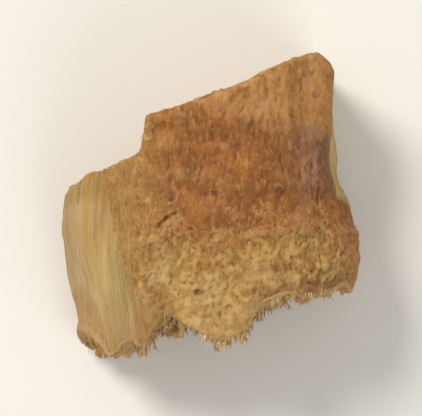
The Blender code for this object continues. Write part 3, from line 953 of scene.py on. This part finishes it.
def torn_bundles(chance, points, normals, weight):
    """Stubs of torn bundles, and a brush of fibres at each one's tip."""
    plan = [(points[root], normals[root], chance.uniform(*STUB_RADIUS), chance.exponential(STUB_REACH),
             chance.uniform(*STUB_TONE)) for root in picked(chance, STUBS, weight)]
    for x, half_width, reach in PALE_TIPS:
        rim = (np.abs(points[:, 0] / MM - x) < 0.12) & (weight > 0.1 * weight.max())
        root = np.argmax(points[:, 2] * rim)
        for _ in range(PALE_TIP_COUNT):
            aside = chance.uniform(-1, 1, 3) * np.array([1, 0, 0.5]) - np.array([0, 0, 0.5])
            plan.append((points[root] + aside * half_width * MM, normals[root],
                         chance.uniform(*PALE_TIP_RADIUS), reach + chance.uniform(-0.05, 0.12),
                         chance.uniform(*PALE_TIP_TONE)))
    stubs, brushes = [], []
    for root, normal, radius, reach, tone in plan:
        reach = min(reach + chance.uniform(0, STUB_INTO_HOLLOW) * recess(root), LONGEST_STUB)
        length = FIBRE_ROOT + reach
        way = unit(OUT_OF_TEAR + chance.normal(0, 0.12, 3) + 0.10 * normal)
        start = root - OUT_OF_TEAR * FIBRE_ROOT * MM
        bend = chance.normal(0, 0.06, 3)
        stubs.append(fibre(start, way, length, bend, radius, STUB_TAPER, tone, STUB_JAG))
        tip = start + (way + bend) * length * MM
        for _ in range(chance.integers(*BRUSH_COUNT)):
            spot = tip + chance.normal(0, 0.45, 3) * radius * MM - way * 0.12 * MM
            splay = unit(way + chance.normal(0, 0.22, 3))
            brushes.append(fibre(spot, splay, chance.uniform(*BRUSH_REACH), chance.normal(0, 0.20, 3),
                                 radius * chance.uniform(0.18, 0.36), BRUSH_TAPER,
                                 tone + chance.normal(0.10, 0.12)))
    return stubs, brushes


def slivers(chance, points, normals, kinds):
    """Fibres lifting along the grain off the lengthwise cuts."""
    fibres = []
    weight = kinds["cut"] * (np.abs(normals[:, 1]) < 0.35) * (normals[:, 2] > -0.3)
    weight *= points[:, 2] > 0.4 * MM
    for root in picked(chance, SLIVERS, weight):
        normal = normals[root]
        grainward = np.array([0.0, chance.choice([-1.0, 1.0]), 0.0])
        if points[root, 1] > SLIVER_TURN:
            grainward = OUT_OF_TEAR
        way = unit(grainward - normal * (grainward @ normal) + 0.10 * normal)
        lift = normal * chance.uniform(-0.10, 0.16) + chance.normal(0, 0.05, 3)
        fibres.append(fibre(points[root] - 0.04 * MM * normal, way, chance.uniform(*SLIVER_REACH), lift,
                            chance.uniform(*SLIVER_RADIUS), SLIVER_TAPER, chance.uniform(*SLIVER_TONE)))
    return fibres


def loose_fibres(points, normals, kinds):
    """Two pieces: the stubs of torn bundles, and all the single fibres."""
    chance = np.random.default_rng(FIBRE_SEED)
    x, _, z = points.T / MM
    weight = kinds["torn"] * smoothstep(0.15, 0.75, -normals[:, 1]) * smoothstep(0.2, 1.2, z)
    weight *= (1 - 0.5 * smoothstep(-3.4, -4.6, x)) * (1 - 0.9 * smoothstep(6.0, 7.0, x))
    weight *= 0.12 + smoothstep(-0.10, 0.35, grain(points, 1.2, 71, 2))
    stubs, brushes = torn_bundles(chance, points, normals, weight)
    fibres = torn_tufts(chance, points, normals, weight) + brushes
    fibres += slivers(chance, points, normals, kinds)
    return (tubes("torn_bundles", stubs, STUB_SIDES, chance),
            tubes("torn_fibres", fibres, FIBRE_SIDES, chance))


# Materials.
def linear(red, green, blue):
    """A colour given as 0 to 255 screen values, as the shader needs it."""
    def one(value):
        value /= 255
        return value / 12.92 if value <= 0.04045 else ((value + 0.055) / 1.055) ** 2.4
    return one(red), one(green), one(blue), 1.0


class Graph:
    """A new material, with short calls for its nodes. An input is a socket, a number or a colour."""

    def __init__(self, name):
        self.material = bpy.data.materials.new(name)
        self.material.use_nodes = True
        self.tree = self.material.node_tree
        self.shader = self.tree.nodes["Principled BSDF"]

    def feed(self, node, inputs):
        for name, value in inputs.items():
            if isinstance(value, bpy.types.NodeSocket):
                self.tree.links.new(value, node.inputs[name])
            else:
                node.inputs[name].default_value = value

    def node(self, kind, inputs, output=0, **settings):
        """Adds a node with its settings and inputs, and gives one of its outputs."""
        node = self.tree.nodes.new("ShaderNode" + kind)
        for name, value in settings.items():
            setattr(node, name, value)
        self.feed(node, inputs)
        return node.outputs[output]

    def stored(self, name, output="Fac"):
        """A number kept on the mesh, or as a Vector, a place in mm."""
        return self.node("Attribute", {}, output, attribute_name=name)

    def noise(self, place, pitch, detail=3.0, roughness=0.55, distortion=0.0):
        """Noise from 0 to 1 with features as large as pitch (mm across and along the root)."""
        across, along = pitch
        scaled = self.node("VectorMath", {0: place, 1: (across, along, across)}, operation="DIVIDE")
        return self.node("TexNoise", {"Vector": scaled, "Scale": 1.0, "Detail": detail,
                                      "Roughness": roughness, "Distortion": distortion}, "Fac")

    def math(self, operation, first, second=0.0):
        return self.node("Math", {0: first, 1: second}, operation=operation)

    def plus(self, first, second):
        return self.math("ADD", first, second)

    def minus(self, first, second):
        return self.math("SUBTRACT", first, second)

    def times(self, first, *others):
        for other in others:
            first = self.math("MULTIPLY", first, other)
        return first

    def axis(self, place, name):
        return self.node("SeparateXYZ", {0: place}, name)

    def span(self, value, low, high, at_high=1.0, at_low=0.0):
        """value from low..high to at_low..at_high, smoothly and clamped."""
        return self.node("MapRange", {"Value": value, "From Min": low, "From Max": high,
                                      "To Min": at_low, "To Max": at_high}, interpolation_type="SMOOTHSTEP")

    def mix(self, share, first, second, blend="MIX"):
        return self.node("Mix", {0: share, 6: first, 7: second}, 2, data_type="RGBA", blend_type=blend)

    def coats(self, colour, *coats):
        """Lays coats over a colour. Each is given as its paint and the shares that are multiplied for it."""
        for paint, *shares in coats:
            colour = self.mix(self.times(*shares), colour, paint)
        return colour

    def crease(self, share, colour):
        """Darkens a colour towards the CREASE tint: painted shade in creases and hollows, and dark mottling
        on the fibres.
        """
        return self.mix(share, colour, self.mix(1.0, colour, CREASE, "MULTIPLY"))

    def finished(self, colour, roughness, gloss=0.5, **others):
        self.feed(self.shader, {"Base Color": colour, "Roughness": roughness,
                                "Specular IOR Level": gloss, **others})
        return self.material


RUSSET_DEEP = linear(134, 80, 34)
RUSSET = linear(162, 103, 48)
RIND_TAN = linear(172, 120, 60)
RIND_OLIVE = linear(146, 104, 50)
RIND_PINK = linear(176, 120, 76)
RIND_RED = linear(150, 84, 42)
RIND_SAND = linear(194, 142, 88)
RIND_DARK = linear(100, 58, 30)
RIND_BLOOM = linear(134, 96, 76)
RIND_DUST = linear(190, 150, 94)
BLOOM_PALE = linear(172, 130, 108)
SCAR_PALE = linear(196, 158, 100)
TAN = linear(158, 111, 54)
GOLD = linear(181, 140, 76)
GOLD_PALE = linear(206, 173, 112)
GOLD_DARK = linear(124, 80, 38)
CREAM = linear(180, 147, 90)
CREAM_PALE = linear(198, 170, 118)
STRAW = linear(166, 128, 72)
CREAM_GREEN = linear(158, 142, 90)
FLANK_OLIVE = linear(148, 131, 76)
FLANK_EDGE = linear(172, 144, 106)
FOOT_PINK = linear(172, 130, 90)
MARGIN_TAN = linear(152, 110, 58)
# Painted shade towards the flank's far top edge.
FLANK_FAR_SHADE = linear(146, 116, 58)
# Painted shade along the torn rim.
RIM_SHADE = linear(134, 90, 48)
BORDER_TAN = linear(160, 106, 56)
HEART_TAN = linear(168, 122, 76)
BUNDLE_BROWN = linear(134, 92, 52)
FIBRE_GOLD = linear(196, 158, 102)
FIBRE_CREAM = linear(224, 202, 156)
FLOOR_PALE = linear(232, 229, 222)
# Tint of the painted shade in creases and hollows, also used for dark mottling on the fibres.
CREASE = (0.42, 0.33, 0.25, 1.0)
BUMP_DISTANCE = 0.045 * MM
ROOT_GLOSS = 0.28
ROOT_ROUGHNESS = (0.92, 0.70)
FIBRE_GLOSS = 0.3
FIBRE_ROUGHNESS = (0.80, 0.55)


def flesh_colour(g, place):
    """Cut flesh: cream cortex and tan heart, with fibre bundles as streaks or dots."""
    x, y, cross = g.axis(place, "X"), g.axis(place, "Y"), g.stored("cross")
    patch = g.noise(place, (1.5, 6.0), 4.0)
    shift = g.times(g.minus(g.noise(place, (1.1, 8.0)), 0.5), 1.6)
    across = g.plus(x, shift)
    to_brim = g.plus(across, g.times(y, 0.37))
    to_far = g.minus(g.times(y, 0.95), g.times(x, 0.30))
    green = g.noise(place, (0.80, 16.0), 2.0)
    thread = g.noise(place, (0.13, 4.0), 3.0, 0.65)
    speck = g.noise(place, (0.22, 0.50), 4.0, 0.7)
    ring = g.plus(g.stored("ring"), g.span(patch, 0.3, 0.7, 0.05, -0.05))
    off_line = g.math("ABSOLUTE", g.minus(ring, 0.66))
    return g.coats(
        g.mix(g.span(patch, 0.35, 0.70), CREAM, CREAM_PALE),
        (MARGIN_TAN, g.span(to_brim, -6.5, -5.0, 0.85), g.span(x, -2.4, -3.2)),
        (FLANK_OLIVE, g.span(g.math("ABSOLUTE", g.plus(across, 4.9)), 0.75, 0.15, 0.75)),
        (FLANK_EDGE, g.span(across, -6.7, -7.4, 0.75)),
        # Painted shade on the flank towards its far top edge.
        (FLANK_FAR_SHADE, g.span(to_far, 2.1, 3.1, 0.65), g.span(x, -4.6, -5.4)),
        (FOOT_PINK, g.span(g.plus(y, shift), -4.6, -6.8), g.span(across, 0.0, -2.0, 0.65)),
        (STRAW, g.span(g.noise(place, (0.50, 14.0)), 0.44, 0.66, 0.45)),
        (CREAM_GREEN, g.span(x, 0.0, -4.0, 1.0, 0.25), g.span(green, 0.52, 0.66), 0.40),
        (BUNDLE_BROWN, g.span(thread, 0.54, 0.66, 0.30)),
        (CREAM_PALE, g.span(thread, 0.46, 0.34, 0.34)),
        (BUNDLE_BROWN, g.span(speck, 0.61, 0.69, 0.35)),
        (HEART_TAN, g.span(ring, 0.70, 0.58, 0.55)),
        (BUNDLE_BROWN, g.span(off_line, 0.016, 0.006, 0.5), cross),
        (BUNDLE_BROWN, g.stored("bundle"), g.span(cross, 0.0, 1.0, 0.72, 0.38)),
        (RIND_DARK, g.span(ring, 0.945, 0.985, 0.75)),
    )


def rind_colour(g, place):
    """Corky skin: russet to tan, mottled and finely streaked, with stains, pale scars and a grey bloom."""
    russet, bloom, stain_and_highlight = g.stored("russet"), g.stored("bloom"), g.stored("stain_and_highlight")
    cloud = g.noise(place, (1.2, 1.8), 5.0, 0.62)
    light = g.span(cloud, 0.36, 0.64)
    hue = g.noise(place, (1.7, 1.4), 3.0, 0.6, 0.4)
    ruddy = g.noise(place, (1.1, 0.8), 3.0, 0.6)
    powder = g.noise(place, (0.34, 0.95), 4.0, 0.6)
    blot = g.noise(place, (0.50, 0.75), 5.0, 0.65, 0.6)
    fleck = g.noise(place, (0.24, 0.42), 4.0, 0.65)
    streak = g.noise(place, (0.11, 0.9), 3.0, 0.6)
    dust = g.noise(place, (0.20, 0.24), 3.0, 0.7)
    left_edge = g.plus(g.axis(place, "X"), g.span(hue, 0.3, 0.7, 0.7, -0.7))
    return g.coats(
        g.mix(russet, g.mix(light, RIND_TAN, RIND_SAND), g.mix(light, RUSSET_DEEP, RUSSET)),
        (RIND_OLIVE, g.span(hue, 0.54, 0.68, 0.60)),
        (RIND_PINK, g.span(hue, 0.46, 0.34, 0.40)),
        (RIND_RED, russet, g.span(ruddy, 0.54, 0.68, 0.55)),
        (RIND_BLOOM, bloom, g.span(cloud, 0.30, 0.65, 0.85, 0.35)),
        (BLOOM_PALE, bloom, g.span(powder, 0.50, 0.64, 0.60)),
        (MARGIN_TAN, g.span(left_edge, -2.2, -3.7, 0.75)),
        (RIND_DARK, g.span(blot, 0.53, 0.66, 0.52)),
        (RIND_SAND, g.span(blot, 0.46, 0.34, 0.34)),
        (RIND_DARK, g.span(fleck, 0.55, 0.66, 0.36)),
        (RIND_SAND, g.span(fleck, 0.45, 0.34, 0.42)),
        (RIND_DARK, g.span(streak, 0.55, 0.68, 0.18)),
        # Stains, and one painted highlight on the lobe.
        (RIND_SAND, g.span(stain_and_highlight, 0.0, 1.0, 0.50)),
        (RIND_DARK, g.span(stain_and_highlight, 0.0, -1.0, 0.42)),
        (RIND_DUST, g.span(dust, 0.60, 0.70, 0.42)),
        (SCAR_PALE, g.stored("scar"), 0.26),
    )


def scraped_colour(g, place):
    """Where the rind has rubbed off: golden tan flesh, paler towards the tear, with bits of rind, and painted
    shade along the torn rim.
    """
    level, x, y = g.stored("level", "Vector"), g.axis(place, "X"), g.axis(place, "Y")
    pebble, stain_and_highlight = g.stored("pebble"), g.stored("stain_and_highlight")
    patch = g.noise(level, (1.0, 1.2), 5.0, 0.6)
    speck = g.noise(level, (0.24, 0.30), 4.0, 0.7)
    crumb = g.noise(level, (0.55, 0.50), 4.0, 0.6)
    remains = g.noise(level, (0.60, 0.60), 5.0, 0.7)
    left_edge = g.plus(x, g.span(patch, 0.3, 0.7, 0.6, -0.6))
    # rim is painted shade along the torn rim right of the middle; the crumbs give way to it.
    rim = g.times(g.span(y, -5.2, -7.4, 0.75), g.span(x, 0.8, 2.4))
    near_tear = g.times(g.span(y, -2.5, -5.0, 1.0, 0.35), g.minus(1.0, rim))
    return g.coats(
        g.mix(g.span(patch, 0.36, 0.64), TAN, GOLD),
        (MARGIN_TAN, g.span(left_edge, -2.4, -3.8, 0.60)),
        (RIM_SHADE, rim),
        # Painted shade in the gaps between grains and a painted highlight on their tops, following their
        # relief.
        (GOLD_DARK, g.span(pebble, 0.42, 0.12, 0.32)),
        (GOLD_PALE, g.span(pebble, 0.55, 0.90, 0.42)),
        (BORDER_TAN, g.span(left_edge, -3.8, -2.4), g.span(y, -3.0, -0.4, 0.65)),
        # Stains, and one painted highlight on the lobe.
        (GOLD_PALE, g.span(stain_and_highlight, 0.0, 1.0, 0.50)),
        (GOLD_DARK, g.span(stain_and_highlight, 0.0, -1.0, 0.45)),
        (GOLD_DARK, g.span(speck, 0.56, 0.66, 0.50)),
        (GOLD_PALE, g.span(speck, 0.43, 0.33, 0.40)),
        (GOLD_DARK, near_tear, g.span(crumb, 0.54, 0.66, 0.55)),
        (GOLD_PALE, near_tear, g.span(crumb, 0.46, 0.34, 0.60)),
        (RUSSET, g.span(remains, 0.59, 0.67, 0.50)),
        # Paler towards the tear, with the paling fading out to the right, which leaves painted shade by the
        # lower right edge.
        (GOLD_PALE, g.span(y, -2.0, -6.5), g.span(left_edge, -4.4, -2.4, 1.0, 0.35),
         g.span(x, 4.0, 1.2, 1.0, 0.15), g.span(patch, 0.3, 0.7, 0.6, 0.2)),
    )


def torn_colour(g, place):
    """Torn flesh: tan to gold from strand to strand, with pale crumbs and brown bundles."""
    crumb = g.noise(place, (0.16, 0.50), 4.0, 0.65)
    return g.coats(
        g.mix(g.span(g.stored("tone"), 0.15, 0.75), HEART_TAN, FIBRE_GOLD),
        (FIBRE_CREAM, g.span(crumb, 0.46, 0.32, 0.6)),
        (BUNDLE_BROWN, g.span(crumb, 0.54, 0.70, 0.6)),
        (TAN, g.span(g.noise(place, (1.1, 3.0)), 0.50, 0.70, 0.5)),
    )


def root_material():
    """The whole chunk: flesh, rind, bared and torn flesh where each shows, with painted shade in creases and
    hollows and a painted highlight on sharp ridges.
    """
    g = Graph("dried_galangal")
    place = g.stored("rest", "Vector")
    x, y, rind = g.axis(place, "X"), g.axis(place, "Y"), g.stored("rind")
    flakes = g.times(g.minus(g.noise(place, (0.16, 0.22), 4.0, 0.65), 0.5), 0.9)
    scraped = g.span(g.plus(g.stored("bare"), flakes), 0.36, 0.64)
    broad, fine = g.stored("broad_crease_shade"), g.stored("fine_shade_and_highlight")
    colour = g.coats(
        g.mix(rind, flesh_colour(g, place), rind_colour(g, place)),
        (scraped_colour(g, place), scraped),
        (SCAR_PALE, g.stored("lip"), 0.65),
        # Painted shade on the foot near the torn rim.
        (MARGIN_TAN, g.span(x, -4.7, -3.9, 0.60), g.span(x, -1.6, -2.6), g.span(y, -4.8, -6.0)),
        (torn_colour(g, place), g.stored("torn")),
    )
    # Painted shade in broad and fine creases, and a painted highlight on sharp ridges.
    colour = g.crease(g.span(broad, -0.05, -0.80, 0.65), colour)
    colour = g.crease(g.span(fine, -0.10, -0.90, 0.60), colour)
    colour = g.mix(g.span(fine, 0.15, 0.95, 0.30), colour, FIBRE_GOLD)
    # Painted shade in pits, cracks, splits, fissures, dents and between torn strands.
    colour = g.crease(g.times(g.stored("hollow_shade"), 0.80), colour)
    dullness = g.noise(place, (0.5, 1.2))
    threads = g.noise(place, (0.075, 2.0), 4.0, 0.65)
    crumbs = g.noise(place, (0.085, 0.13), 4.0, 0.65)
    bumps = g.node("Mix", {0: g.math("MAXIMUM", rind, scraped), 2: threads, 3: crumbs})
    normal = g.node("Bump", {"Distance": BUMP_DISTANCE, "Height": bumps})
    return g.finished(colour, g.span(dullness, 0.3, 0.7, *ROOT_ROUGHNESS), ROOT_GLOSS, Normal=normal)


def fibre_material():
    """Single fibres: gold to brown, paler towards the broken tip."""
    g = Graph("galangal_fibre")
    tone = g.stored("tone")
    mottle = g.noise(g.stored("rest", "Vector"), (0.10, 0.40), 3.0, 0.6)
    colour = g.coats(
        g.mix(g.span(tone, 0.1, 0.5), BUNDLE_BROWN, FIBRE_GOLD),
        (FIBRE_CREAM, g.span(tone, 0.5, 0.9)),
        (FIBRE_CREAM, g.span(g.stored("tip"), 0.35, 1.0, 0.30)),
    )
    colour = g.crease(g.span(mottle, 0.50, 0.70, 0.40), colour)
    return g.finished(colour, g.span(mottle, 0.3, 0.7, *FIBRE_ROUGHNESS), FIBRE_GLOSS)


# Stage.
def floor():
    bm = bmesh.new()
    bmesh.ops.create_grid(bm, x_segments=1, y_segments=1, size=FLOOR_HALF_SIZE)
    ground = linked("floor", to_mesh(bm, "floor"))
    ground.data.materials.append(Graph("pale_floor").finished(FLOOR_PALE, FLOOR_ROUGHNESS))


def studio():
    world = bpy.data.worlds.new("studio")
    bpy.context.scene.world = world
    world.use_nodes = True
    backdrop = world.node_tree.nodes["Background"]
    backdrop.inputs["Color"].default_value, backdrop.inputs["Strength"].default_value = BACKDROP
    for name, (place, size, power, colour) in LIGHTS.items():
        data = bpy.data.lights.new(name, "AREA")
        data.shape, data.size, data.energy, data.color = "DISK", size, power, colour
        light = linked(name, data)
        light.location = place
        light.rotation_mode = "QUATERNION"
        light.rotation_quaternion = (LIGHT_TARGET - Vector(place)).to_track_quat("-Z", "Y")
    bpy.context.scene.view_settings.view_transform = "Standard"


def camera():
    data = bpy.data.cameras.new("camera")
    data.lens, data.sensor_width = LENS, SENSOR_WIDTH
    data.clip_start, data.clip_end = CLIP
    obj = linked("camera", data)
    obj.location = (0, 0, VIEW_LEVEL + VIEW_WIDTH * LENS / SENSOR_WIDTH)
    bpy.context.scene.camera = obj


def finish_piece(piece, material):
    piece.data.materials.append(material)
    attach(piece, "root")


camera()
root, skin_points, skin_normals, skin_kinds = chunk()
finish_piece(root, root_material())
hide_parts("root_chunk")
threads = fibre_material()
for loose in loose_fibres(skin_points, skin_normals, skin_kinds):
    finish_piece(loose, threads)
floor()
studio()
